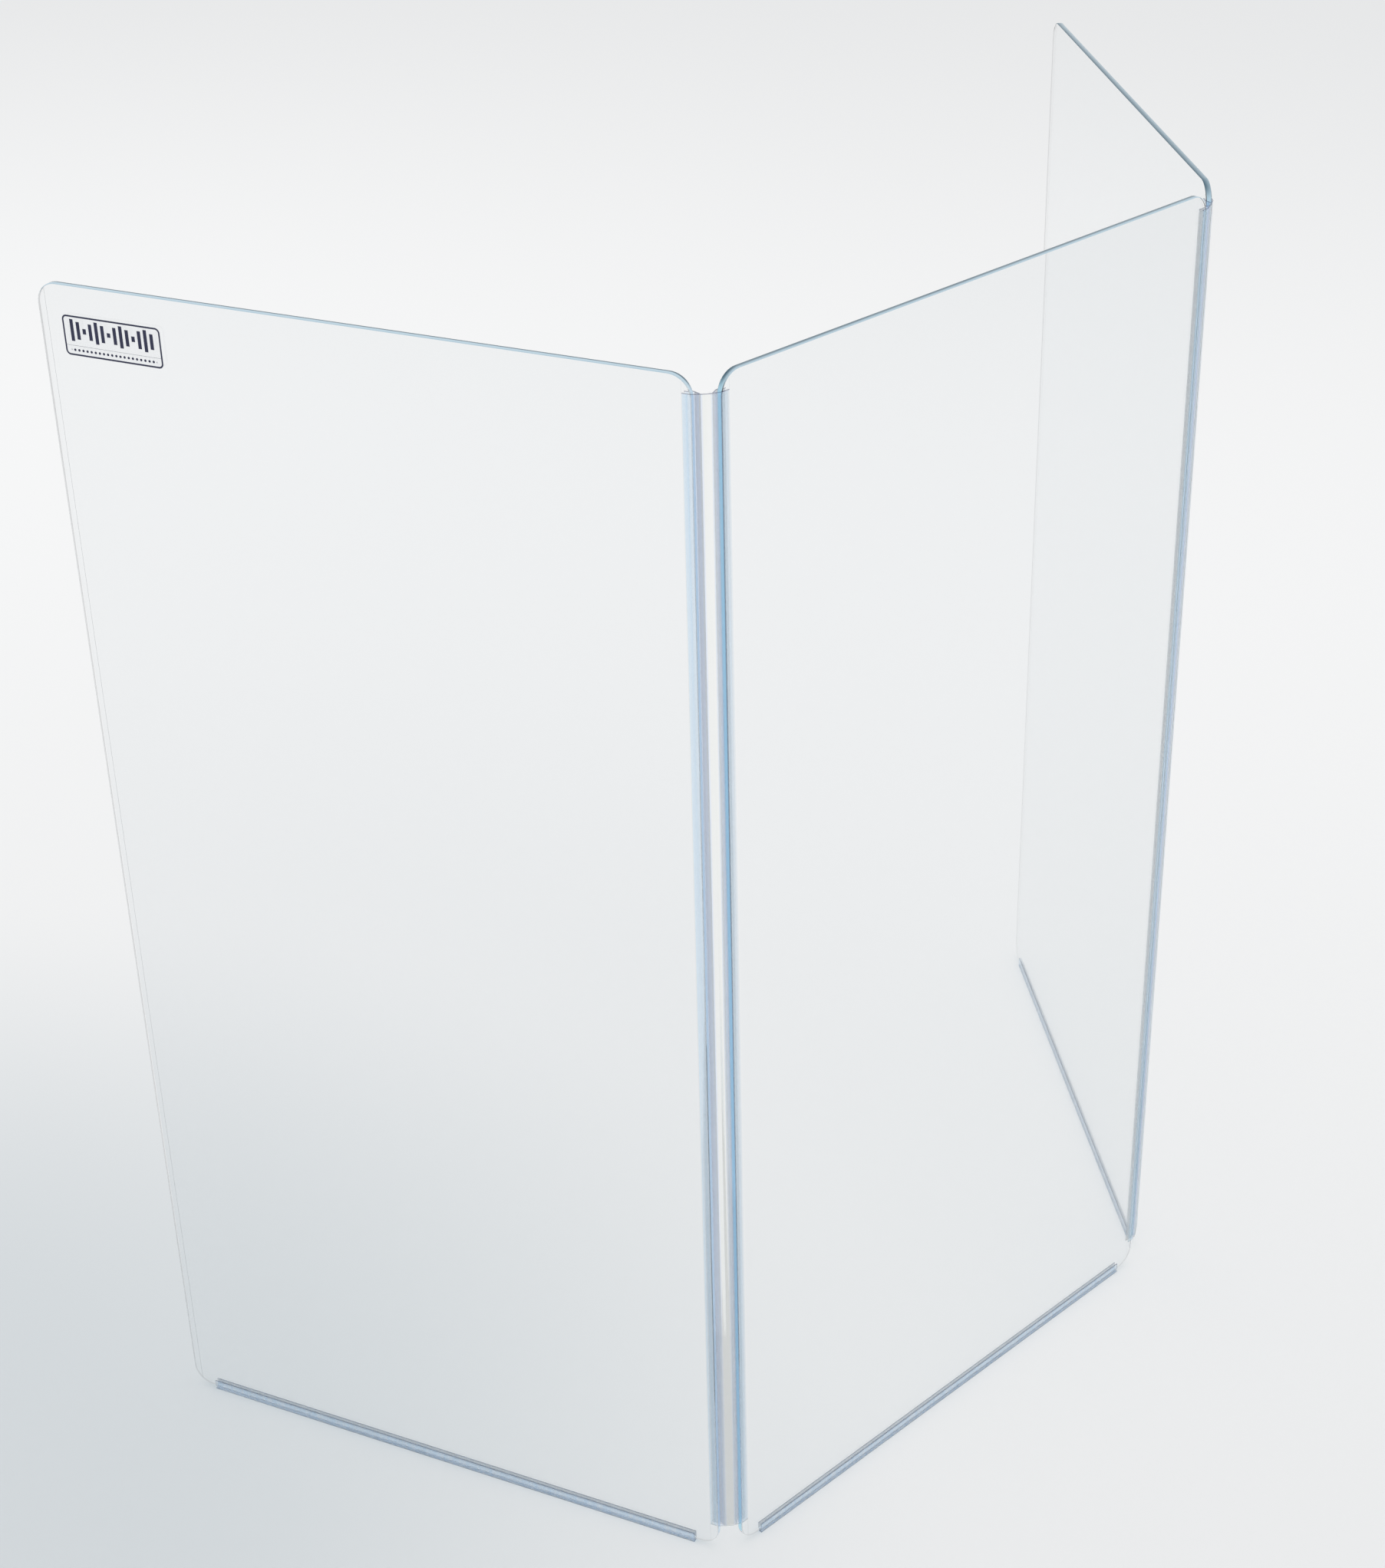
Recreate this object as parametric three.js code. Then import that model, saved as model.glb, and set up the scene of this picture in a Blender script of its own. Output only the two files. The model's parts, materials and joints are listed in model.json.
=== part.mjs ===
// Folding drum shield: three clear acrylic sheets that stand on edge, joined by two soft clear hinges.
// Each hinge is one full-length extrusion: a channel on either sheet and a thin web that bends between them.
// Each sheet stands in a clear foot strip. Millimetres, +Z up.
// The centre sheet lies along X. The audience is towards -Y, and the drummer sits towards +Y.
import * as THREE from "three";

// The sheets, all three cut alike
const sheetWidth = 609.6;
const sheetHeight = 1219.2;
const sheetThickness = 5.6;
const cornerRadius = 20;
const edgeEase = 0.4;

// The grip that the hinges and the foot strips share: two thin lips pushed over a sheet's edge
const fitGap = 0.3;
const lipThickness = 0.9;
const lipGrip = 7.8;
const lipTipRound = 0.4;

// The hinges, which stop short of the sheets' rounded corners
const hingeTopDrop = 14.5;
const hingeBottomRise = 28;
const pivotReach = 7.2;
const rootWidth = 1.2;
const webSpan = 8.6;
const webThickness = 1;
const webBow = 1;
const beadRadius = 0.8;

// The foot strips
const footRise = 3.2;
const footWidth = 8;
const footThickness = 1.1;
const footEdgeRound = 0.3;
const neckWidth = 1.8;
const neckHeight = 0.6;
const footInset = 25.4;

// The label on the left sheet
const labelWidth = 100;
const labelHeight = 37;
const labelThickness = 0.3;
const labelCornerRadius = 4.5;
const labelSideMargin = 22.5;
const labelTopMargin = 26;

// How far each side sheet is folded back from straight, in degrees
const leftFold = 68.4;
const rightFold = 52.7;

// Steps along an arc: at a sheet's corner, and in the outlines of the extrusions
const cornerSteps = 12;
const arcSteps = 8;
// Where the bead meets the web, in degrees from the web's own direction
const beadJoinAngle = 50;

const acrylic = new THREE.MeshStandardMaterial({
  color: 0xe6f3f5,
  roughness: 0.05,
  metalness: 0,
  transparent: true,
  opacity: 0.25,
});
const hingeVinyl = new THREE.MeshStandardMaterial({
  color: 0xb9cdea,
  roughness: 0.2,
  metalness: 0,
  transparent: true,
  opacity: 0.7,
});
const footVinyl = new THREE.MeshStandardMaterial({
  color: 0xa9c0e2,
  roughness: 0.2,
  metalness: 0,
  transparent: true,
  opacity: 0.7,
});
const labelFilm = new THREE.MeshStandardMaterial({
  color: 0x1d2448,
  roughness: 0.4,
  metalness: 0,
});

// Half the slot that a sheet's edge sits in, and half the extrusion round it.
const slotHalf = sheetThickness / 2 + fitGap;
const gripHalf = slotHalf + lipThickness;

// A mesh under the name of its piece.
function piece(name, geometry, material) {
  const mesh = new THREE.Mesh(geometry, material);
  mesh.name = name;
  return mesh;
}

// A rectangle with rounded corners, its lower left corner at x, y.
function roundedRectangle(x, y, width, height, radius) {
  const shape = new THREE.Shape();
  shape.absarc(x + width - radius, y + radius, radius, -Math.PI / 2, 0);
  shape.absarc(x + width - radius, y + height - radius, radius, 0, Math.PI / 2);
  shape.absarc(x + radius, y + height - radius, radius, Math.PI / 2, Math.PI);
  shape.absarc(x + radius, y + radius, radius, Math.PI, (3 * Math.PI) / 2);
  return shape;
}

// A straight extrusion of an outline. An arc gets two steps for each curve segment.
function extruded(shape, depth) {
  return new THREE.ExtrudeGeometry(shape, {
    depth,
    steps: 1,
    curveSegments: arcSteps / 2,
    bevelEnabled: false,
  });
}

// A sheet on edge: its width along X from zero, its thickness about Y zero, its lower edge at the foot's rise.
function sheetGeometry() {
  const shape = roundedRectangle(0, footRise, sheetWidth, sheetHeight, cornerRadius);
  const core = sheetThickness - 2 * edgeEase;
  return new THREE.ExtrudeGeometry(shape, {
    depth: core,
    steps: 1,
    curveSegments: cornerSteps / 2,
    bevelThickness: edgeEase,
    bevelSize: edgeEase,
    bevelOffset: -edgeEase,
    bevelSegments: 1,
  })
    .rotateX(Math.PI / 2)
    .translate(0, core / 2, 0);
}

// A hinge channel, drawn round the sheet's edge at X zero with the sheet towards +X.
// Beyond the edge its walls close in a V on a root, whose end is hollowed to take the web's bead.
function channelGeometry() {
  const seat = beadRadius + fitGap;
  const spread = Math.asin(rootWidth / 2 / seat);
  const notch = pivotReach - seat - lipThickness;
  const tip = lipGrip - lipTipRound;
  const shape = new THREE.Shape();
  shape.moveTo(fitGap, slotHalf);
  shape.lineTo(lipGrip, slotHalf);
  shape.absarc(tip, gripHalf - lipTipRound, lipTipRound, 0, Math.PI / 2);
  shape.lineTo(0, gripHalf);
  shape.absarc(-pivotReach, 0, seat, spread, -spread, true);
  shape.lineTo(0, -gripHalf);
  shape.absarc(tip, lipTipRound - gripHalf, lipTipRound, -Math.PI / 2, 0);
  shape.lineTo(lipGrip, -slotHalf);
  shape.lineTo(fitGap, -slotHalf);
  shape.lineTo(-notch, 0);
  shape.closePath();
  const length = sheetHeight - hingeTopDrop - hingeBottomRise;
  return extruded(shape, length).translate(0, 0, footRise + hingeBottomRise);
}

// A hinge's web from one bead at X zero to the other, bowed to +Y or -Y by side.
function webGeometry(side) {
  const radius = (webSpan * webSpan / 4 + webBow * webBow) / (2 * webBow);
  const half = Math.asin(webSpan / 2 / radius);
  const trim = (2 * beadRadius) / radius;
  const join = THREE.MathUtils.degToRad(beadJoinAngle);
  const centre = webBow - radius;
  const shape = new THREE.Shape();
  const up = Math.PI / 2;
  shape.absarc(webSpan / 2, centre, radius + webThickness / 2, up - half + trim, up + half - trim);
  shape.absarc(0, 0, beadRadius, half + join, half - join + 2 * Math.PI);
  shape.absarc(webSpan / 2, centre, radius - webThickness / 2, up + half - trim, up - half + trim, true);
  shape.absarc(webSpan, 0, beadRadius, join - half - Math.PI, Math.PI - half - join);
  shape.closePath();
  const length = sheetHeight - hingeTopDrop - hingeBottomRise;
  const web = extruded(shape, length);
  // Turned over end for end, the bow shows on the other side.
  if (side < 0) web.rotateX(Math.PI).translate(0, 0, length);
  return web.translate(0, 0, footRise + hingeBottomRise);
}

// A foot strip under a sheet: two lips, a V that closes on a neck, and a flat foot.
function footGeometry() {
  const slotFloor = footRise - fitGap;
  const chamfer = edgeEase + fitGap / 2;
  const lipTop = footRise + lipGrip;
  const half = footWidth / 2;
  const neck = neckWidth / 2;
  const shape = new THREE.Shape();
  shape.moveTo(-half, 0);
  shape.lineTo(half, 0);
  shape.absarc(half - footEdgeRound, footThickness - footEdgeRound, footEdgeRound, 0, Math.PI / 2);
  shape.lineTo(neck, footThickness);
  shape.lineTo(neck, footThickness + neckHeight);
  shape.lineTo(gripHalf, footRise);
  shape.absarc(gripHalf - lipTipRound, lipTop - lipTipRound, lipTipRound, 0, Math.PI / 2);
  shape.lineTo(slotHalf, lipTop);
  shape.lineTo(slotHalf, slotFloor + chamfer);
  shape.lineTo(slotHalf - chamfer, slotFloor);
  shape.lineTo(chamfer - slotHalf, slotFloor);
  shape.lineTo(-slotHalf, slotFloor + chamfer);
  shape.lineTo(-slotHalf, lipTop);
  shape.absarc(lipTipRound - gripHalf, lipTop - lipTipRound, lipTipRound, Math.PI / 2, Math.PI);
  shape.lineTo(-gripHalf, footRise);
  shape.lineTo(-neck, footThickness + neckHeight);
  shape.lineTo(-neck, footThickness);
  shape.absarc(footEdgeRound - half, footThickness - footEdgeRound, footEdgeRound, Math.PI / 2, Math.PI);
  shape.closePath();
  return extruded(shape, sheetWidth - 2 * footInset)
    .rotateX(Math.PI / 2)
    .rotateZ(Math.PI / 2)
    .translate(footInset, 0, 0);
}

// The label's film on the sheet's +Y face, near the free edge.
function labelGeometry() {
  const x = sheetWidth - labelSideMargin - labelWidth;
  const z = footRise + sheetHeight - labelTopMargin - labelHeight;
  const shape = roundedRectangle(x, z, labelWidth, labelHeight, labelCornerRadius);
  return extruded(shape, labelThickness)
    .rotateX(Math.PI / 2)
    .translate(0, sheetThickness / 2 + fitGap + labelThickness, 0);
}

// One sheet in its foot strip. Its edge at X zero and, where farChannel is given, its far edge carry a channel.
function panel(side, nearChannel, farChannel) {
  const group = new THREE.Group();
  group.name = side;
  group.add(piece(side + "_panel", sheetGeometry(), acrylic));
  group.add(piece(side + "_foot_strip", footGeometry(), footVinyl));
  group.add(piece(nearChannel, channelGeometry(), hingeVinyl));
  if (farChannel) {
    const far = piece(farChannel, channelGeometry(), hingeVinyl);
    far.rotation.z = Math.PI;
    far.position.x = sheetWidth;
    group.add(far);
  }
  return group;
}

// A web and the panel beyond it, hung on the pivot line of the centre panel's channel.
// The web turns through half the fold, and the panel through all of it.
function wing(name, web, side, straight, fold, channel) {
  const pivot = new THREE.Group();
  pivot.name = name + "_web_pivot";
  pivot.rotation.z = straight - (side * fold) / 2;
  pivot.add(piece(web, webGeometry(side), hingeVinyl));
  const leafPivot = new THREE.Group();
  leafPivot.name = name + "_panel_pivot";
  leafPivot.position.x = webSpan;
  leafPivot.rotation.z = (-side * fold) / 2;
  const leaf = panel(name, channel);
  leaf.position.x = pivotReach;
  leafPivot.add(leaf);
  pivot.add(leafPivot);
  return pivot;
}

const assembly = new THREE.Group();

const centre = panel("centre", "left_hinge_inner_channel", "right_hinge_inner_channel");
centre.position.x = -sheetWidth / 2;
assembly.add(centre);

const leftTurn = THREE.MathUtils.degToRad(leftFold);
const left = wing("left", "left_hinge_web", 1, Math.PI, leftTurn, "left_hinge_outer_channel");
left.position.x = -sheetWidth / 2 - pivotReach;
assembly.add(left);

const rightTurn = THREE.MathUtils.degToRad(rightFold);
const right = wing("right", "right_hinge_web", -1, 0, rightTurn, "right_hinge_outer_channel");
right.position.x = sheetWidth / 2 + pivotReach;
assembly.add(right);

assembly.getObjectByName("left").add(piece("label_sticker", labelGeometry(), labelFilm));

// The origin is on the floor, under the middle of the box that holds the shield.
const box = new THREE.Box3().setFromObject(assembly, true);
const middle = box.getCenter(new THREE.Vector3());
assembly.position.set(-middle.x, -middle.y, -box.min.z);

const shield = new THREE.Group();
shield.add(assembly);

export default shield;
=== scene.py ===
import json
import math

import bmesh
import bpy
from mathutils import Matrix, Vector


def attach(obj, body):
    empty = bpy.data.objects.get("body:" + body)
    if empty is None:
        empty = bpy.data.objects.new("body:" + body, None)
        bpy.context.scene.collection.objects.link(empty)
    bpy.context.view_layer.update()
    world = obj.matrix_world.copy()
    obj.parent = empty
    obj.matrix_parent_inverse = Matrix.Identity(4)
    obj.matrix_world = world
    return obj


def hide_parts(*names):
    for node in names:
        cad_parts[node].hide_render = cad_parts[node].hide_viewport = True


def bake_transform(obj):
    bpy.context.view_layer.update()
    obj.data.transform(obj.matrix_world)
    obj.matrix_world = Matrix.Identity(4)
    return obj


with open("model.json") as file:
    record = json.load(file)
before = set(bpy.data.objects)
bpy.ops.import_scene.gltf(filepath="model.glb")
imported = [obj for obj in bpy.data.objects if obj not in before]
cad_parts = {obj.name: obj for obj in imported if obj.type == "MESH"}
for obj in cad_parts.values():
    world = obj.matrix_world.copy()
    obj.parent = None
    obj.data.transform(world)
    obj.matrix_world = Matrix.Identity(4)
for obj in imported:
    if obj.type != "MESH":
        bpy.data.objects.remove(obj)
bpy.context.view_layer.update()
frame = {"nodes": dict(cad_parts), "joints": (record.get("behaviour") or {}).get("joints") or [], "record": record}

# The three sheets are clear cast acrylic a quarter of an inch thick, cut alike with rounded corners.
# Their faces keep the gloss of the casting. Their edges are sawn, eased and polished, and read as blue-grey
# lines, painted partly as the sheet's own tint and partly as painted shade. What grips a sheet's rim holds it on
# edge.
MM = 0.001
corner_radius = 20 * MM
corner_steps = 12
ease_width = 0.7 * MM
ease_steps = 2
# From where to where, in from a face, the polished side of an edge passes into the eased part
eased_span = (1.2 * ease_width, 0.8 * ease_width)
acrylic_ior = 1.49
# On the audience's face the upright edges are planed a little for the hinges' lips. The faint line where the
# planing ends is painted shade, in grey. It shows more at a free edge than at one that is gripped.
planed_width = 8.1 * MM
planed_depth = 0.08 * MM
planed_slope = 0.5 * MM
line_shade_grey = (0.05, 0.08, 0.09)
free_line_cover = 0.6
gripped_line_cover = 0.15
# Where a side sheet's edges change from gripped to free, as shares of its width
free_span = (0.4, 0.6)
# The edge's colour is painted: partly the tint that the whole sheet gives its edge, partly painted shade and light
# that the sheet carries to its edges. Along the top it runs from pale to a dark painted shade towards the drummer,
# down the sides it is blue, and where the edge is eased it is a pale grey of painted shade. Each sheet stands at
# its own angle to the light and shows its own tint.
face_tint = (0.95, 0.96, 0.965)
top_shade_tint = (0.02, 0.09, 0.14)
top_lit_tint = (0.57, 0.73, 0.83)
top_shade_fades = {
    "centre_panel": (-3.2 * MM, 1.6 * MM),
    "left_panel": (-0.6 * MM, 1.3 * MM),
    "right_panel": (-8 * MM, 5 * MM),
}
side_tint_and_shade = {
    "centre_panel": (0.52, 0.82, 0.96),
    "left_panel": (0.70, 0.85, 0.96),
    "right_panel": (0.60, 0.80, 0.92),
}
eased_shade_grey = (0.60, 0.67, 0.69)
# How much of an edge's surface shows, where the rest of it lets the eye straight through
eased_cover = 0.25
free_cover = 0.3
lower_cover = 0.2
top_depth = 16 * MM
top_blend = top_depth / 5
bottom_depth = 19 * MM
# What is left of the lamps' light behind a face, an edge and the lower edge
clear_shade = (0.985, 0.99, 0.99)
edge_shade = (0.75, 0.84, 0.88)
bottom_shade = (0.72, 0.78, 0.80)
# Faint smudges and waves on the faces, the saw's marks on the edges, and how unevenly the planed line's painted
# shade shows
smudge_scale = 7
smudge_span = (0.45, 0.75)
smudge_roughness = 0.02
wave_scale = 3
wave_strength = 0.02
wave_depth = 2 * MM
saw_stretch = (25, 300, 25)
saw_span = (0.4, 0.8)
saw_share = 0.12
edge_roughness = 0.12
saw_roughness = 0.1
line_patch_scale = 60
line_patch_least = 0.8
line_patch_spread = 0.4
line_roughness = 0.1


def reach(node, towards):
    """How far a node goes along a direction, least and most."""
    along = [v.co.dot(towards) for v in frame["nodes"][node].data.vertices]
    return min(along), max(along)


mounts = {m["name"]: m for m in frame["record"]["mounts"]}
UP = Vector((0, 0, 1))


class Stand:
    """Where a sheet stands: its lower near corner, the way it runs, and its side to the drummer."""

    def __init__(self, name, run, drummer_side):
        self.panel = name + "_panel"
        self.strip = name + "_foot_strip"
        self.body = name + "_panel"
        self.run = Vector(run)
        self.across = UP.cross(self.run)
        self.drummer_side = drummer_side
        near, far = reach(self.panel, self.run)
        back, front = reach(self.panel, self.across)
        low, high = reach(self.panel, UP)
        self.width, self.thickness, self.height = far - near, front - back, high - low
        self.edge = self.run * near + self.across * (back + front) / 2 + UP * low
        self.far_edge = self.edge + self.run * self.width


centre = Stand("centre", (1, 0, 0), 1)
left = Stand("left", mounts["left_free_edge"]["axis"], -1)
right = Stand("right", mounts["right_free_edge"]["axis"], 1)


class Value:
    """A socket that takes part in sums."""

    def __init__(self, finish, socket):
        self.finish = finish
        self.socket = socket

    def sum(self, operation, *terms):
        return self.finish.add("Math", {"operation": operation}, dict(enumerate(terms)))

    def __add__(self, other):
        return self.sum("ADD", self, other)

    def __radd__(self, other):
        return self.sum("ADD", other, self)

    def __sub__(self, other):
        return self.sum("SUBTRACT", self, other)

    def __rsub__(self, other):
        return self.sum("SUBTRACT", other, self)

    def __mul__(self, other):
        return self.sum("MULTIPLY", self, other)

    def __rmul__(self, other):
        return self.sum("MULTIPLY", other, self)

    def __truediv__(self, other):
        return self.sum("DIVIDE", self, other)

    def __abs__(self):
        return self.sum("ABSOLUTE", self)


class Finish:
    """A material whose nodes are laid one by one."""

    def __init__(self, name):
        self.material = bpy.data.materials.new(name)
        self.material.use_nodes = True
        self.tree = self.material.node_tree
        self.tree.nodes.clear()

    def add(self, kind, settings=None, inputs=None, output=0):
        node = self.tree.nodes.new("ShaderNode" + kind)
        for name, setting in (settings or {}).items():
            setattr(node, name, setting)
        for name, given in (inputs or {}).items():
            if isinstance(given, Value):
                self.tree.links.new(given.socket, node.inputs[name])
            elif given is not None:
                node.inputs[name].default_value = given
        return Value(self, node.outputs[output])

    def mix(self, share, first, second):
        """A colour between two colours."""
        return self.add("Mix", {"data_type": "RGBA"}, {0: share, 6: first, 7: second}, 2)

    def ramp(self, value, low, high, to_low=0.0, to_high=1.0):
        """Value from low to high taken smoothly to another span."""
        span = {"Value": value, "From Min": low, "From Max": high, "To Min": to_low, "To Max": to_high}
        return self.add("MapRange", {"interpolation_type": "SMOOTHSTEP"}, span)

    def own(self):
        """The piece's own coordinates, as it lay before it was put in its place."""
        return self.add("Attribute", {"attribute_name": "own"}, output="Vector")

    def noise(self, vector, scale, detail=2.0):
        return self.add("TexNoise", {}, {"Vector": vector, "Scale": scale, "Detail": detail})

    def surface(self, shader):
        out = self.tree.nodes.new("ShaderNodeOutputMaterial")
        self.tree.links.new(shader.socket, out.inputs["Surface"])
        return self.material

    def lit_through(self, shader, tint):
        """The shader, but rays from lamps and off the floor go straight through it."""
        passes = self.add("BsdfTransparent", {}, {"Color": (*tint, 1)})
        lamp = self.add("LightPath", output="Is Shadow Ray")
        floor = self.add("LightPath", output="Is Diffuse Ray")
        straight_on = lamp.sum("MAXIMUM", lamp, floor)
        return self.add("MixShader", {}, {0: straight_on, 1: shader, 2: passes})


def free_share(finish, stand, x):
    """One by a sheet's free edge and nothing by an edge that a hinge grips."""
    return 0.0 if stand is centre else finish.ramp(x, *(share * stand.width for share in free_span))


def clear_acrylic(name, shade, cover=1.0):
    finish = Finish(name)
    own = finish.own()
    smudges = finish.ramp(finish.noise(own, smudge_scale, 4), *smudge_span)
    wave = finish.noise(own, wave_scale, 0)
    bump = finish.add("Bump", {}, {"Strength": wave_strength, "Distance": wave_depth, "Height": wave})
    body = finish.add("BsdfPrincipled", {}, {
        "Base Color": (*face_tint, 1),
        "Roughness": smudges * smudge_roughness,
        "IOR": acrylic_ior,
        "Transmission Weight": 1,
        "Normal": bump,
        "Alpha": cover,
    })
    return finish.surface(finish.lit_through(body, shade))


def acrylic_edge(stand):
    panel = stand.panel
    finish = Finish(panel + "_edge")
    own = finish.own()
    along, across, up = (finish.add("SeparateXYZ", {}, {0: own}, axis) for axis in range(3))
    half = centre.thickness / 2
    saw = finish.noise(finish.add("Mapping", {}, {"Vector": own, "Scale": saw_stretch}), 1, 3)
    # Painted shade and light: the top's pale-to-dark run, the sides' blue and the eased grey, over the sheet's own
    # tint
    top = finish.mix(finish.ramp(across, *top_shade_fades[panel]), (*top_lit_tint, 1), (*top_shade_tint, 1))
    eased = finish.ramp(abs(across), *(half - inset for inset in eased_span))
    side = finish.mix(eased, (*side_tint_and_shade[panel], 1), (*eased_shade_grey, 1))
    is_top = finish.ramp(up, centre.height - top_depth, centre.height - top_blend)
    tint = finish.mix(is_top, side, top)
    tint = finish.mix(finish.ramp(saw, *saw_span) * saw_share, tint, (*top_lit_tint, 1))
    see_through = eased * (1 - eased_cover)
    free = free_share(finish, stand, along)
    see_through = eased.sum("MAXIMUM", see_through, free * (1 - free_cover))
    cover = 1 - (1 - is_top) * see_through
    outside = finish.add("BsdfPrincipled", {}, {
        "Base Color": tint,
        "Roughness": edge_roughness + saw * saw_roughness,
        "IOR": acrylic_ior,
        "Alpha": cover,
    })
    inside = finish.add("BsdfPrincipled", {}, {
        "Base Color": (1, 1, 1, 1),
        "Roughness": 0.0,
        "IOR": acrylic_ior,
        "Transmission Weight": 1,
        "Alpha": cover,
    })
    behind = finish.add("NewGeometry", output="Backfacing")
    both = finish.add("MixShader", {}, {0: behind, 1: outside, 2: inside})
    return finish.surface(finish.lit_through(both, edge_shade))


def planed_line(stand):
    finish = Finish(stand.panel + "_planed_line")
    own = finish.own()
    along = finish.add("SeparateXYZ", {}, {0: own}, 0)
    patchy = finish.noise(own, line_patch_scale, 2)
    free = free_share(finish, stand, along)
    cover = gripped_line_cover + free * (free_line_cover - gripped_line_cover)
    # The planed line's grey is painted shade, patchy along its length
    share = cover * (line_patch_least + patchy * line_patch_spread)
    body = finish.add("BsdfPrincipled", {}, {
        "Base Color": finish.mix(share, (*face_tint, 1), (*line_shade_grey, 1)),
        "Roughness": line_roughness,
        "IOR": acrylic_ior,
        "Transmission Weight": 1,
    })
    return finish.surface(finish.lit_through(body, clear_shade))


def make(name, bm, finishes, place, drummer_side=1):
    """Puts a mesh in its place as an object that keeps its own coordinates, with Y to the drummer."""
    mesh = bpy.data.meshes.new(name)
    bm.to_mesh(mesh)
    bm.free()
    own = mesh.attributes.new("own", "FLOAT_VECTOR", "POINT")
    spots = [(v.co.x, v.co.y * drummer_side, v.co.z) for v in mesh.vertices]
    own.data.foreach_set("vector", [c for spot in spots for c in spot])
    mesh.transform(place)
    for finish in finishes:
        mesh.materials.append(finish)
    piece = bpy.data.objects.new(name, mesh)
    bpy.context.scene.collection.objects.link(piece)
    return piece


def placed(origin, run):
    """What takes a piece from its own coordinates to a place, with X turned along run."""
    return Matrix.Translation(origin) @ Matrix.Rotation(math.atan2(run.y, run.x), 4, "Z")


def bevel(bm, edges, width, steps):
    bmesh.ops.bevel(
        bm, geom=edges, offset=width, offset_type="OFFSET", segments=steps,
        profile=0.5, affect="EDGES", material=-1,
    )


def lies(edge, x, y, z):
    """Whether an edge runs along the direction."""
    way = (edge.verts[1].co - edge.verts[0].co).normalized()
    return way.cross(Vector((x, y, z))).length < 0.001


def crisp(bm, least=math.radians(25)):
    """Faces run smoothly into each other, except where they meet at more than the angle."""
    for face in bm.faces:
        face.smooth = True
    for edge in bm.edges:
        if len(edge.link_faces) == 2:
            edge.smooth = edge.calc_face_angle() < least


def slice_at(bm, distance, axis=(1, 0, 0)):
    """New edges where the mesh crosses the plane at a distance along an axis."""
    everything = bm.verts[:] + bm.edges[:] + bm.faces[:]
    spot = Vector(axis) * distance
    bmesh.ops.bisect_plane(bm, geom=everything, plane_co=spot, plane_no=axis, dist=1e-7)


# A face whose normal has more than this along an axis lies flat across it
flat = 0.99
# The numbers of a sheet's finishes
on_clear, on_edge, on_lower, on_line = range(4)
clear_sheet = clear_acrylic("clear_acrylic", clear_shade)
lower_edge = clear_acrylic("lower_edge", bottom_shade, lower_cover)
for stand in (centre, left, right):
    bm = bmesh.new()
    bmesh.ops.create_cube(bm, size=1)
    bmesh.ops.scale(bm, vec=(stand.width, stand.thickness, stand.height), verts=bm.verts)
    bmesh.ops.translate(bm, vec=(stand.width / 2, 0, stand.height / 2), verts=bm.verts)
    bevel(bm, [e for e in bm.edges if lies(e, 0, 1, 0)], corner_radius, corner_steps)
    bm.normal_update()
    rims = [e for e in bm.edges if len({abs(f.normal.y) > 0.5 for f in e.link_faces}) == 2]
    bevel(bm, rims, ease_width, ease_steps)
    bm.normal_update()
    for face in bm.faces:
        face.smooth = abs(face.normal.y) < flat
        is_low = face.calc_center_median().z < bottom_depth and face.normal.z < -0.2
        face.material_index = on_clear if not face.smooth else on_lower if is_low else on_edge
    for inset in (planed_width, planed_width + planed_slope):
        slice_at(bm, inset)
        slice_at(bm, stand.width - inset)
    for vert in bm.verts:
        inset = min(vert.co.x, stand.width - vert.co.x)
        to_audience = vert.co.y * stand.drummer_side < 0
        if to_audience and inset < planed_width + planed_slope / 2:
            vert.co.y *= 1 - 2 * planed_depth / stand.thickness
    for face in bm.faces:
        along = face.calc_center_median().x
        inset = min(along, stand.width - along)
        to_audience = face.normal.y * stand.drummer_side < -0.5
        if to_audience and 0 < inset - planed_width < planed_slope:
            face.material_index = on_line
    finishes = [clear_sheet, acrylic_edge(stand), lower_edge, planed_line(stand)]
    place = placed(stand.edge, stand.run)
    sheet = make(stand.panel.replace("panel", "sheet"), bm, finishes, place, stand.drummer_side)
    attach(sheet, stand.body)
    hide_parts(stand.panel)

# Each hinge is one full-length extrusion of soft clear vinyl with a blue tint. Two lips push over a
# sheet's rim, a V closes behind them, and a thin web runs on to the other sheet's V, bowed a little to
# the audience. It is made in two halves that meet in the middle of the web, each bending at its root.
lip_thickness = 0.9 * MM
lip_gap = 0.12 * MM
tip_round = 0.3 * MM
tip_steps = 3
knee_round = 4 * tip_round
knee_steps = 4
v_depth = 1.5 * lip_thickness
web_half = 0.5 * MM
root_half = 0.6 * MM
web_bow = 1 * MM
bend_reach = 2 * MM
bend_cuts = 12
web_cuts = 5
vinyl_ior = 1.52
vinyl_shade = (0.92, 0.945, 0.965)
# The vinyl is a little milky: this share of the light meets it, and the rest goes straight on.
# Where it clings to a sheet hardly any of its surface shows.
vinyl_cover = 0.5
grip_cover = 0.2
# Drawn vinyl has pale bands and fine streaks along its length
band_stretch = (420, 420, 0.6)
band_span = (0.4, 0.62)
band_share = 0.5
streak_stretch = (900, 900, 2)
streak_span = (0.4, 0.7)
streak_strength = 0.06
streak_depth = 0.4 * MM
vinyl_roughness = 0.02
streak_roughness = 0.08
# The right hinge is looked at nearly end on, through more of the vinyl, so its tint is deeper
lip_tints = {"left": (0.52, 0.77, 1.0), "right": (0.40, 0.74, 1.0)}
flank_tints = {"left": (0.50, 0.66, 1.0), "right": (0.34, 0.54, 1.0)}
web_tint = (0.90, 0.93, 0.88)
tint_blur = 0.5 * MM
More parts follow.
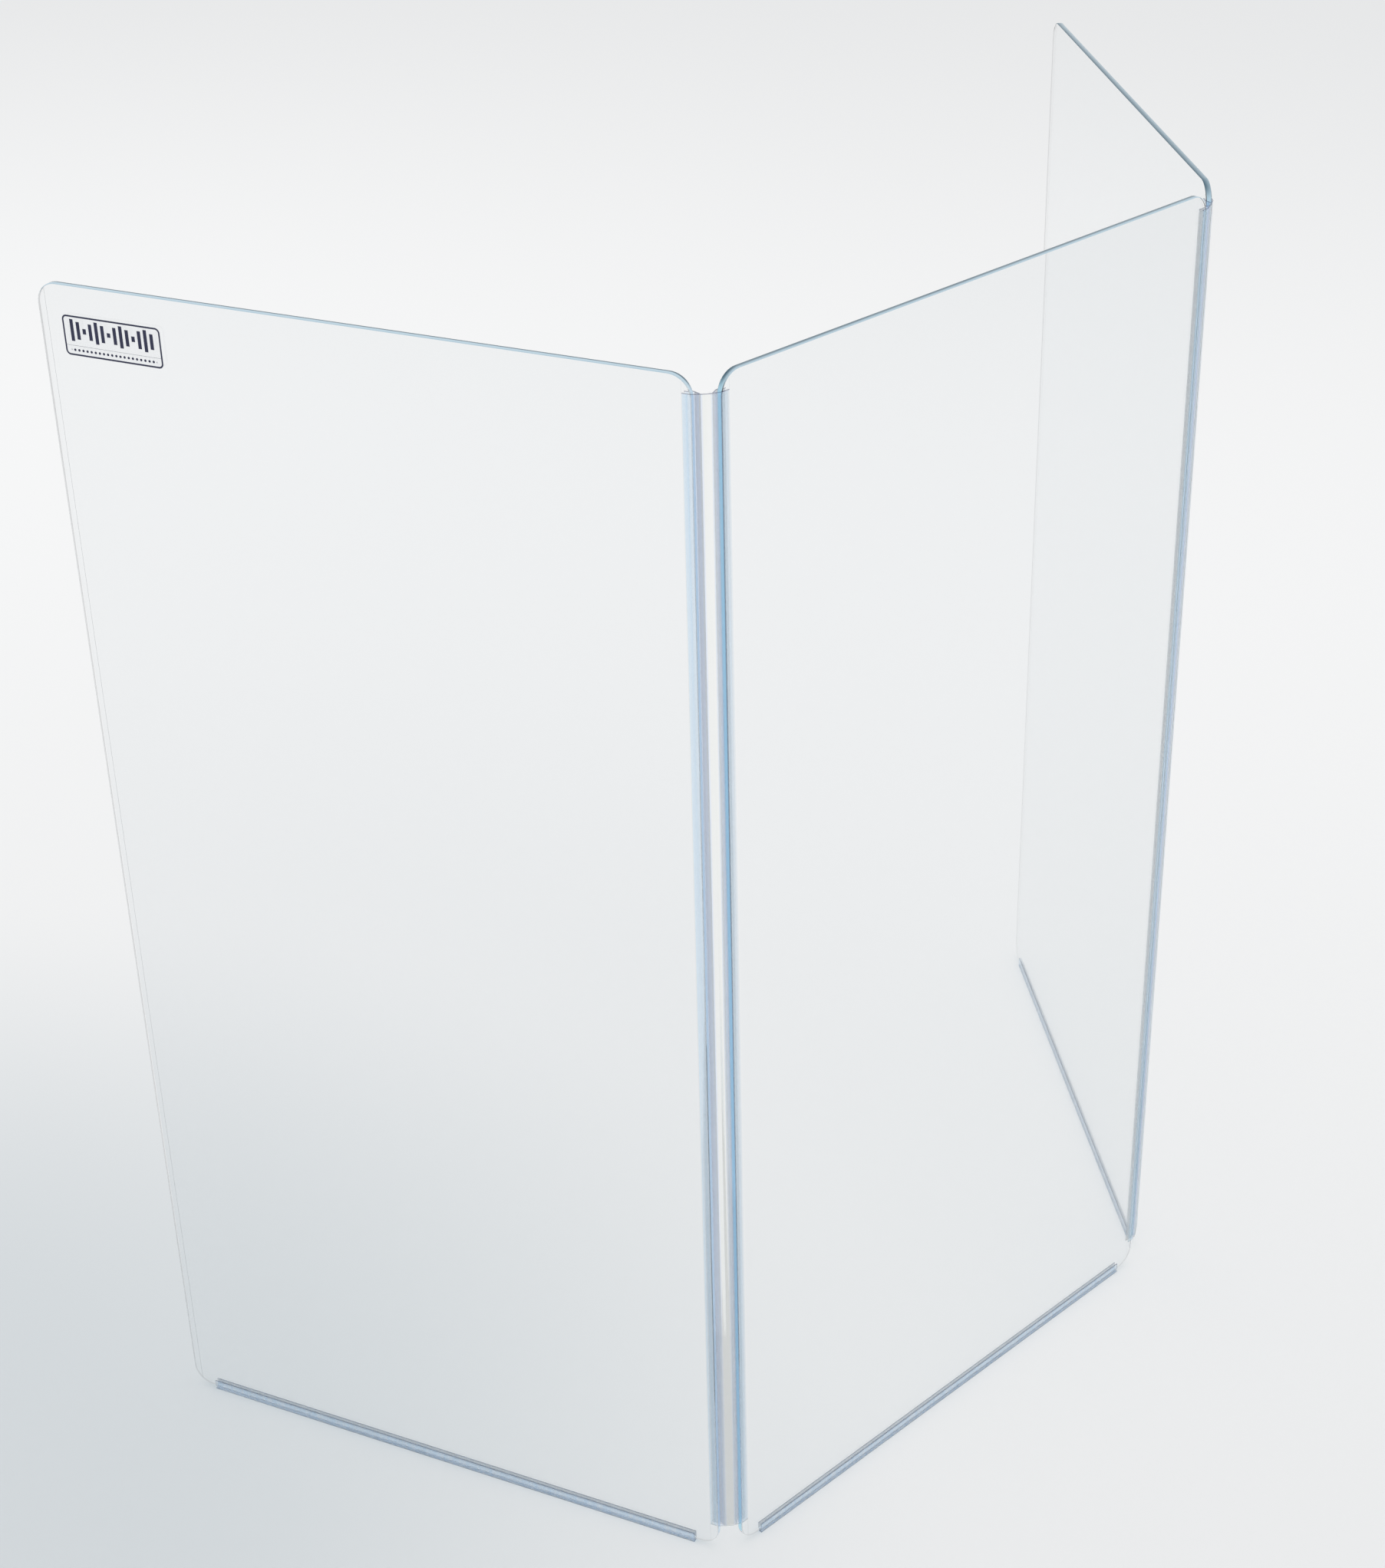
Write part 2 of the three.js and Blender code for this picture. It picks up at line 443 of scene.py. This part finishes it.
# The tips of the lips and the cut ends are painted deeper, partly the tint gathered there and partly painted
# shade, with a fine grain of painted glints
rim_grain = 500
rim_span = (0.35, 0.7)
rim_glint = 1.5
rim_roughness = 0.25
grain_roughness = 0.15
rim_shade = (0.7, 0.78, 0.9)
tip_shade_colour = (0.62, 0.70, 0.76)
tip_cover = 0.2
end_shade_colour = (0.05, 0.07, 0.16)
end_cover = 0.55
end_depth = 0.5 * MM
# Less than any part of a piece, and more than rounding
hair = 0.001 * MM
joints = {j["name"]: Vector(j["pos_m"]) for j in frame["joints"]}
root_reach = (joints["left_inner_bend"] - centre.edge).to_2d().length


def clear_vinyl(name, shade, cover, tint_at):
    """Clear drawn vinyl, whose tint at a point is worked out by tint_at from its own X, Y and Z."""
    finish = Finish(name)
    own = finish.own()
    streak = finish.noise(finish.add("Mapping", {}, {"Vector": own, "Scale": streak_stretch}), 1, 2)
    band = finish.noise(finish.add("Mapping", {}, {"Vector": own, "Scale": band_stretch}), 1, 1)
    bump = finish.add("Bump", {}, {
        "Strength": streak_strength,
        "Distance": streak_depth,
        "Height": streak,
    })
    tint = tint_at(finish, *(finish.add("SeparateXYZ", {}, {0: own}, axis) for axis in range(3)))
    body = finish.add("BsdfPrincipled", {}, {
        "Base Color": finish.mix(finish.ramp(band, *band_span) * band_share, tint, (1, 1, 1, 1)),
        "Roughness": vinyl_roughness + finish.ramp(streak, *streak_span) * streak_roughness,
        "IOR": vinyl_ior,
        "Transmission Weight": 1,
        "Normal": bump,
        "Alpha": cover,
    })
    return finish.surface(finish.lit_through(body, shade))


def hinge_tint(side):
    """Pale blue on the lips, lilac on the flanks of the V, and hardly any on the web."""

    def tint_at(finish, x, y, z):
        on_lips = finish.ramp(x, -tint_blur, tint_blur)
        tint = finish.mix(on_lips, (*flank_tints[side], 1), (*lip_tints[side], 1))
        off_web = finish.ramp(x, -root_reach - 2 * tint_blur, -root_reach)
        return finish.mix(off_web, (*web_tint, 1), tint)

    return tint_at


def vinyl_rim(name, colour, cover):
    """A cut or drawn edge of the vinyl, painted with its gathered tint and painted shade."""
    finish = Finish(name)
    grain = finish.noise(finish.own(), rim_grain, 2)
    glint = (*(c * rim_glint for c in colour), 1)
    tint = finish.mix(finish.ramp(grain, *rim_span), (*colour, 1), glint)
    from_inside = finish.add("NewGeometry", output="Backfacing")
    body = finish.add("BsdfPrincipled", {}, {
        "Base Color": tint,
        "Roughness": rim_roughness + grain * grain_roughness,
        "IOR": vinyl_ior,
        "Alpha": cover * (1 - from_inside),
    })
    return finish.surface(finish.lit_through(body, rim_shade))


def joined():
    """The middle of the web, where one half runs on into the other and nothing shows."""
    finish = Finish("hinge_run_on")
    return finish.surface(finish.add("BsdfTransparent", {}, {"Color": (1, 1, 1, 1)}))


def prism(points, depth):
    """A closed outline in X and Y drawn out along Z."""
    bm = bmesh.new()
    base = bm.faces.new([bm.verts.new((x, y, 0)) for x, y in points])
    drawn = bmesh.ops.extrude_face_region(bm, geom=[base], use_keep_orig=True)
    top = [v for v in drawn["geom"] if isinstance(v, bmesh.types.BMVert)]
    bmesh.ops.translate(bm, vec=(0, 0, depth), verts=top)
    bmesh.ops.recalc_face_normals(bm, faces=bm.faces)
    return bm


def smooth_step(share):
    share = min(max(share, 0), 1)
    return share * share * (3 - 2 * share)


def hinge_half(name, channel, stand, near, pivot, other, finishes):
    """Half a hinge, on a sheet's near or far edge. It bends about one pivot, towards the other."""
    into = stand.run if near else -stand.run
    edge = stand.edge if near else stand.far_edge
    low, high = reach(channel, UP)
    grip = reach(channel, into)[1] - edge.dot(into)
    pivot_reach = (pivot - edge).to_2d().length
    half_web = (other - pivot).length / 2
    slot = stand.thickness / 2 + lip_gap
    half = slot + lip_thickness
    foot = pivot_reach - web_half
    notch = foot - v_depth
    middle_reach = pivot_reach + half_web
    upper = [(lip_gap, slot), (grip, slot), (grip, half), (0, half)]
    upper += [(-foot, root_half), (-middle_reach, web_half)]
    lower = [(x, -y) for x, y in reversed(upper)]
    bm = prism(upper + lower + [(-notch, 0)], high - low)
    tips = [e for e in bm.edges if lies(e, 0, 0, 1) and e.verts[0].co.x > grip - tip_round]
    bevel(bm, tips, tip_round, tip_steps)
    knees = [e for e in bm.edges if lies(e, 0, 0, 1) and abs(e.verts[0].co.y) > half - tip_round]
    bevel(bm, [e for e in knees if abs(e.verts[0].co.x) < tip_round], knee_round, knee_steps)
    for cut in range(bend_cuts + 1):
        slice_at(bm, -pivot_reach + bend_reach * (1 - 2 * cut / bend_cuts))
    for cut in range(1, web_cuts):
        slice_at(bm, -pivot_reach - bend_reach - (half_web - bend_reach) * cut / web_cuts)
    slice_at(bm, high - low - end_depth, UP)
    bm.normal_update()
    for face in bm.faces:
        middle = face.calc_center_median()
        at_end = face.normal.z > 0.9 or middle.z > high - low - end_depth
        at_tip = middle.x > grip - tip_round
        at_middle = middle.x < -middle_reach + hair
        at_grip = face.normal.y * middle.y < -hair
        face.material_index = (
            on_run_on if at_middle else on_cut_end if at_end
            else on_tip if at_tip else on_grip if at_grip else on_skin
        )
    crisp(bm)
    # The web is bowed to the audience, and then turned about the root as the shield stands folded.
    place = placed(edge.to_2d().to_3d() + UP * low, into)
    home = place.inverted() @ pivot
    way = (place.inverted() @ other - home).to_2d().normalized()
    turn = math.atan2(way.y, way.x) - math.pi
    turn = (turn + math.pi) % (2 * math.pi) - math.pi
    bow = web_bow * (1 if (place.inverted().to_3x3() @ Vector((0, -1, 0))).y > 0 else -1)
    for vert in bm.verts:
        gone = -pivot_reach - vert.co.x
        if gone > 0:
            vert.co.y += bow * math.sin(math.pi * gone / (4 * half_web)) ** 2
        angle = turn * smooth_step((gone + bend_reach) / (2 * bend_reach))
        spot = vert.co.to_2d() - home.to_2d()
        spot.rotate(Matrix.Rotation(angle, 2))
        vert.co.x, vert.co.y = spot + home.to_2d()
    piece = make(name, bm, finishes, place)
    start = pivot + into * bend_reach
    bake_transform(piece)
    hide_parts(channel)
    return piece


on_skin, on_tip, on_run_on, on_cut_end, on_grip = range(5)
tip = vinyl_rim("hinge_tip", tip_shade_colour, tip_cover)
run_on = joined()
cut_end = vinyl_rim("hinge_end", end_shade_colour, end_cover)
for side, stand, near in (("left", left, True), ("right", right, False)):
    inner, outer = joints[side + "_inner_bend"], joints[side + "_outer_bend"]
    web = side + "_web"
    skin = clear_vinyl(side + "_hinge_vinyl", vinyl_shade, vinyl_cover, hinge_tint(side))
    grip = clear_vinyl(side + "_hinge_grip", vinyl_shade, grip_cover, hinge_tint(side))
    finishes = [skin, tip, run_on, cut_end, grip]
    half = hinge_half(
        side + "_hinge_inner_half", side + "_hinge_inner_channel", centre, near,
        inner, outer, finishes,
    )
    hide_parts(side + "_hinge_web")
    hinge_half(
        side + "_hinge_outer_half", side + "_hinge_outer_channel", stand, True,
        outer, inner, finishes,
    )

# A foot strip is pushed on to each sheet's lower rim. It is a clear extrusion a little stiffer than
# the hinges, with two lips, a V that closes on a short neck, and a flat foot that bears the sheet.
foot_half = 4 * MM
foot_thickness = 1.1 * MM
foot_round = 0.3 * MM
foot_steps = 2
neck_half = 0.9 * MM
neck_height = 0.6 * MM
strip_shade = (0.975, 0.98, 0.985)
strip_cover = 0.6
wall_tint = (0.58, 0.78, 1.0)
# The darker foot is painted contact shade, over the vinyl's tint
foot_shade_tint = (0.46, 0.66, 0.96)
foot_fade = 0.3 * MM
# The lips' tips are painted dark as shade, over the vinyl's tint gathered along them
strip_tip_shade_colour = (0.05, 0.10, 0.18)
strip_tip_cover = 0.5
tip_depth = 0.5 * MM


def strip_tint(finish, x, y, z):
    """Pale blue walls on a foot painted darker, as painted contact shade."""
    in_foot_shade = finish.ramp(z, foot_thickness, foot_thickness + foot_fade, 1.0, 0.0)
    return finish.mix(in_foot_shade, (*wall_tint, 1), (*foot_shade_tint, 1))


on_strip, on_rim, on_strip_grip = range(3)
strip_finishes = [
    clear_vinyl("strip_vinyl", strip_shade, strip_cover, strip_tint),
    vinyl_rim("strip_tip", strip_tip_shade_colour, strip_tip_cover),
    clear_vinyl("strip_grip", strip_shade, grip_cover, strip_tint),
]
for stand in (centre, left, right):
    near, far = reach(stand.strip, stand.run)
    lip_top = reach(stand.strip, UP)[1]
    seat = stand.edge.z
    slot = stand.thickness / 2 + lip_gap
    half = slot + lip_thickness
    shoulder = foot_thickness + neck_height
    # The outline's X is the strip's height, so that it is drawn out along the sheet when it is turned.
    upper = [(seat - lip_gap, slot), (lip_top, slot), (lip_top, half), (seat, half)]
    upper += [(shoulder, neck_half), (foot_thickness, neck_half)]
    upper += [(foot_thickness, foot_half), (0, foot_half)]
    lower = [(x, -y) for x, y in reversed(upper)]
    bm = prism(upper + lower, far - near)
    tall = [e for e in bm.edges if lies(e, 0, 0, 1)]
    bevel(bm, [e for e in tall if e.verts[0].co.x > lip_top - tip_round], tip_round, tip_steps)
    tall = [e for e in bm.edges if lies(e, 0, 0, 1)]
    toes = [e for e in tall if abs(e.verts[0].co.y) > foot_half - foot_round]
    bevel(bm, [e for e in toes if e.verts[0].co.x > foot_round], foot_round, foot_steps)
    slice_at(bm, lip_top - tip_depth)
    for cut in (tip_depth, far - near - tip_depth):
        slice_at(bm, cut, UP)
    bm.normal_update()
    for face in bm.faces:
        middle = face.calc_center_median()
        from_end = min(middle.z, far - near - middle.z)
        at_rim = middle.x > lip_top - tip_depth or hair < from_end < tip_depth
        at_seat = face.normal.x > 0.9 and shoulder < middle.x < seat
        at_grip = at_seat or face.normal.y * middle.y < -hair
        face.material_index = on_rim if at_rim else on_strip_grip if at_grip else on_strip
    crisp(bm)
    upright = Matrix(((0, 0, 1, 0), (0, -1, 0, 0), (1, 0, 0, 0), (0, 0, 0, 1)))
    bmesh.ops.transform(bm, matrix=upright, verts=bm.verts)
    origin = stand.run * near + stand.across * stand.edge.dot(stand.across)
    name = stand.strip.replace("foot_strip", "strip")
    strip = make(name, bm, strip_finishes, placed(origin, stand.run), stand.drummer_side)
    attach(strip, stand.body)
    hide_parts(stand.strip)

# The label is a clear self-adhesive film with navy print, stuck near the upper free corner of the left
# sheet on the audience's face. It is printed with a plain frame, a rule, level bars and a row of dots.
film_lift = 0.05 * MM
film_thickness = 0.15 * MM
film_corner = 4.5 * MM
film_corner_steps = 8
frame_inset = 0.6 * MM
frame_line = 1.5 * MM
rule_line = 0.35 * MM
rule_share = 0.26
rule_ink = 0.6
bar_pitch = 6.2 * MM
bar_half = 1.7 * MM
bar_count = 14
bar_margin = 2.6 * frame_line
# The bars' lengths follow a sine, which goes on by this angle from one bar to the next
bar_turn = 0.8
bar_least = 0.2
dot_pitch = 4.2 * MM
dot_radius = 1.15 * MM
dot_margin = 1.2 * frame_line
print_blur = 0.08 * MM
ink = (0.012, 0.016, 0.06)
clear_ground = (0.86, 0.89, 0.92)
ground_alpha = 0.1
film_roughness = 0.3
ink_roughness = 0.15


def printed_film(width, height):
    finish = Finish("printed_film")
    own = finish.own()
    x = finish.add("SeparateXYZ", {}, {0: own}, 0)
    z = finish.add("SeparateXYZ", {}, {0: own}, 2)

    def within(distance):
        """One where the distance is under zero."""
        return finish.ramp(distance, -print_blur, print_blur, 1.0, 0.0)

    # How far a point lies outside a rounded rectangle that the frame's outer line follows
    dx = abs(x) - (width / 2 - frame_inset - film_corner)
    dz = abs(z) - (height / 2 - frame_inset - film_corner)
    ox, oz = dx.sum("MAXIMUM", dx, 0.0), dz.sum("MAXIMUM", dz, 0.0)
    outside = ox * ox + oz * oz
    inside = dx.sum("MAXIMUM", dx, dz)
    off = outside.sum("SQRT", outside) + inside.sum("MINIMUM", inside, 0.0) - film_corner
    line = within(abs(off + frame_line / 2) - frame_line / 2)

    rule_height = height * (rule_share - 0.5)
    rule = within(abs(z - rule_height) - rule_line / 2) * within(off + frame_line)

    field = within(abs(x) - bar_count * bar_pitch / 2)
    column = x / bar_pitch
    cell = column.sum("FLOOR", column)
    from_bar = abs(column - cell - 0.5) * bar_pitch
    wave = abs(cell.sum("SINE", cell * bar_turn)) * (1 - bar_least) + bar_least
    bar_tall = wave * (height * (1 - rule_share) / 2 - bar_margin)
    bar_middle = height * (1 - (1 - rule_share) / 2 - 0.5)
    bars = within(from_bar - bar_half) * within(abs(z - bar_middle) - bar_tall) * field

    row = x / dot_pitch
    from_dot = (row - row.sum("FLOOR", row) - 0.5) * dot_pitch
    dot_height = z - (rule_height - height / 2 + dot_margin) / 2
    spread = from_dot * from_dot + dot_height * dot_height
    dots = within(spread.sum("SQRT", spread) - dot_radius) * field

    marks = bars.sum("MAXIMUM", bars, dots)
    marks = rule.sum("MAXIMUM", rule * rule_ink, marks)
    ink_share = line.sum("MAXIMUM", line, marks)
    tint = finish.mix(ink_share, (*clear_ground, 1), (*ink, 1))
    film = finish.add("BsdfPrincipled", {}, {
        "Base Color": tint,
        "Roughness": film_roughness + ink_share * ink_roughness,
        "Alpha": ground_alpha + ink_share * (1 - ground_alpha),
    })
    return finish.surface(film)


low, high = reach("label_sticker", UP)
near, far = reach("label_sticker", left.run)
bm = bmesh.new()
bmesh.ops.create_cube(bm, size=1)
bmesh.ops.scale(bm, vec=(far - near, film_thickness, high - low), verts=bm.verts)
bevel(bm, [e for e in bm.edges if lies(e, 0, 1, 0)], film_corner, film_corner_steps)
bm.normal_update()
for face in bm.faces:
    face.smooth = abs(face.normal.y) < flat
outwards = left.thickness / 2 + film_lift + film_thickness / 2
middle = left.run * (near + far) / 2 + UP * (low + high) / 2
middle += left.across * (left.edge.dot(left.across) + outwards)
label = make("label", bm, [printed_film(far - near, high - low)], placed(middle, left.run))
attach(label, left.body)
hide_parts("label_sticker")

# The studio is a plain pale floor that runs to the horizon under a soft white surround. Round one spot beside
# the shield a broad shade is painted into the floor's colour. Two large softboxes hang behind the shield,
# so what shadow there is falls forwards.
floor_reach = 40
floor_segments = 96
floor_drop = 0.2 * MM
floor_roughness = 0.9
shaded_floor_colour = (0.715, 0.745, 0.765)
far_colour = (0.915, 0.91, 0.91)
painted_shade_spot = (-1.164, 0.392, 0)
shade_full_reach = 0.52
shade_end_reach = 1.4
uneven_scale = 0.6
uneven_reach = 0.2
surround_colour = (0.975, 0.99, 1.0)
surround_strength = 0.86
softbox_width = 2.5
softbox_colour = (1.0, 0.985, 0.96)
softboxes = (
    ("left_softbox", (0.4, 3.4, 3.0), 16),
    ("right_softbox", (2.1, 0.2, 3.0), 12),
)


def studio_floor():
    finish = Finish("studio_floor")
    place = finish.add("TexCoord", output="Object")
    away = finish.add("VectorMath", {"operation": "DISTANCE"}, {0: place, 1: painted_shade_spot}, "Value")
    uneven = finish.noise(place, uneven_scale, 1)
    # Darker round the spot: a painted shade on the floor
    share = finish.ramp(away + uneven * uneven_reach, shade_full_reach, shade_end_reach)
    tint = finish.mix(share, (*shaded_floor_colour, 1), (*far_colour, 1))
    return finish.surface(finish.add("BsdfPrincipled", {}, {
        "Base Color": tint,
        "Roughness": floor_roughness,
        "Specular IOR Level": 0,
    }))


bm = bmesh.new()
bmesh.ops.create_circle(bm, cap_ends=True, radius=floor_reach, segments=floor_segments)
floor = make("studio_floor", bm, [studio_floor()], Matrix.Translation((0, 0, -floor_drop)))

world = bpy.data.worlds.new("studio")
bpy.context.scene.world = world
world.use_nodes = True
background = world.node_tree.nodes["Background"]
background.inputs["Color"].default_value = (*surround_colour, 1)
background.inputs["Strength"].default_value = surround_strength

for name, place, energy in softboxes:
    softbox = bpy.data.lights.new(name, "AREA")
    softbox.size = softbox_width
    softbox.energy = energy
    softbox.color = softbox_colour
    hung = bpy.data.objects.new(name, softbox)
    hung.location = place
    hung.visible_glossy = False
    bpy.context.scene.collection.objects.link(hung)

# The camera stands where the photograph was taken from, above the audience's left. Its place and lens
# were fitted to the corners of the three sheets, in the photograph's own pixels.
photo_long_side = 2044
focal_pixels = 3539.7
camera_place = (-1.7332, -1.6974, 1.9734)
camera_heading = math.radians(43.046)
camera_dip = math.radians(29.611)
camera_roll = math.radians(-1.466)
lens = bpy.data.cameras.new("photo_camera")
lens.sensor_width = 36
lens.lens = focal_pixels * lens.sensor_width / photo_long_side
camera = bpy.data.objects.new("photo_camera", lens)
camera.matrix_world = (
    Matrix.Translation(camera_place)
    @ Matrix.Rotation(-camera_heading, 4, "Z")
    @ Matrix.Rotation(math.pi / 2 - camera_dip, 4, "X")
    @ Matrix.Rotation(camera_roll, 4, "Z")
)
bpy.context.scene.collection.objects.link(camera)
bpy.context.scene.camera = camera
bpy.context.scene.view_settings.view_transform = "Standard"
# Light meets many clear faces on its way through a hinge
bpy.context.scene.cycles.transparent_max_bounces = 64
bpy.context.scene.cycles.max_bounces = 48
bpy.context.scene.cycles.transmission_bounces = 48
bpy.context.scene.cycles.glossy_bounces = 32
# Rare bright paths through the vinyl and the edges would leave white grain
bpy.context.scene.cycles.sample_clamp_indirect = 1.2
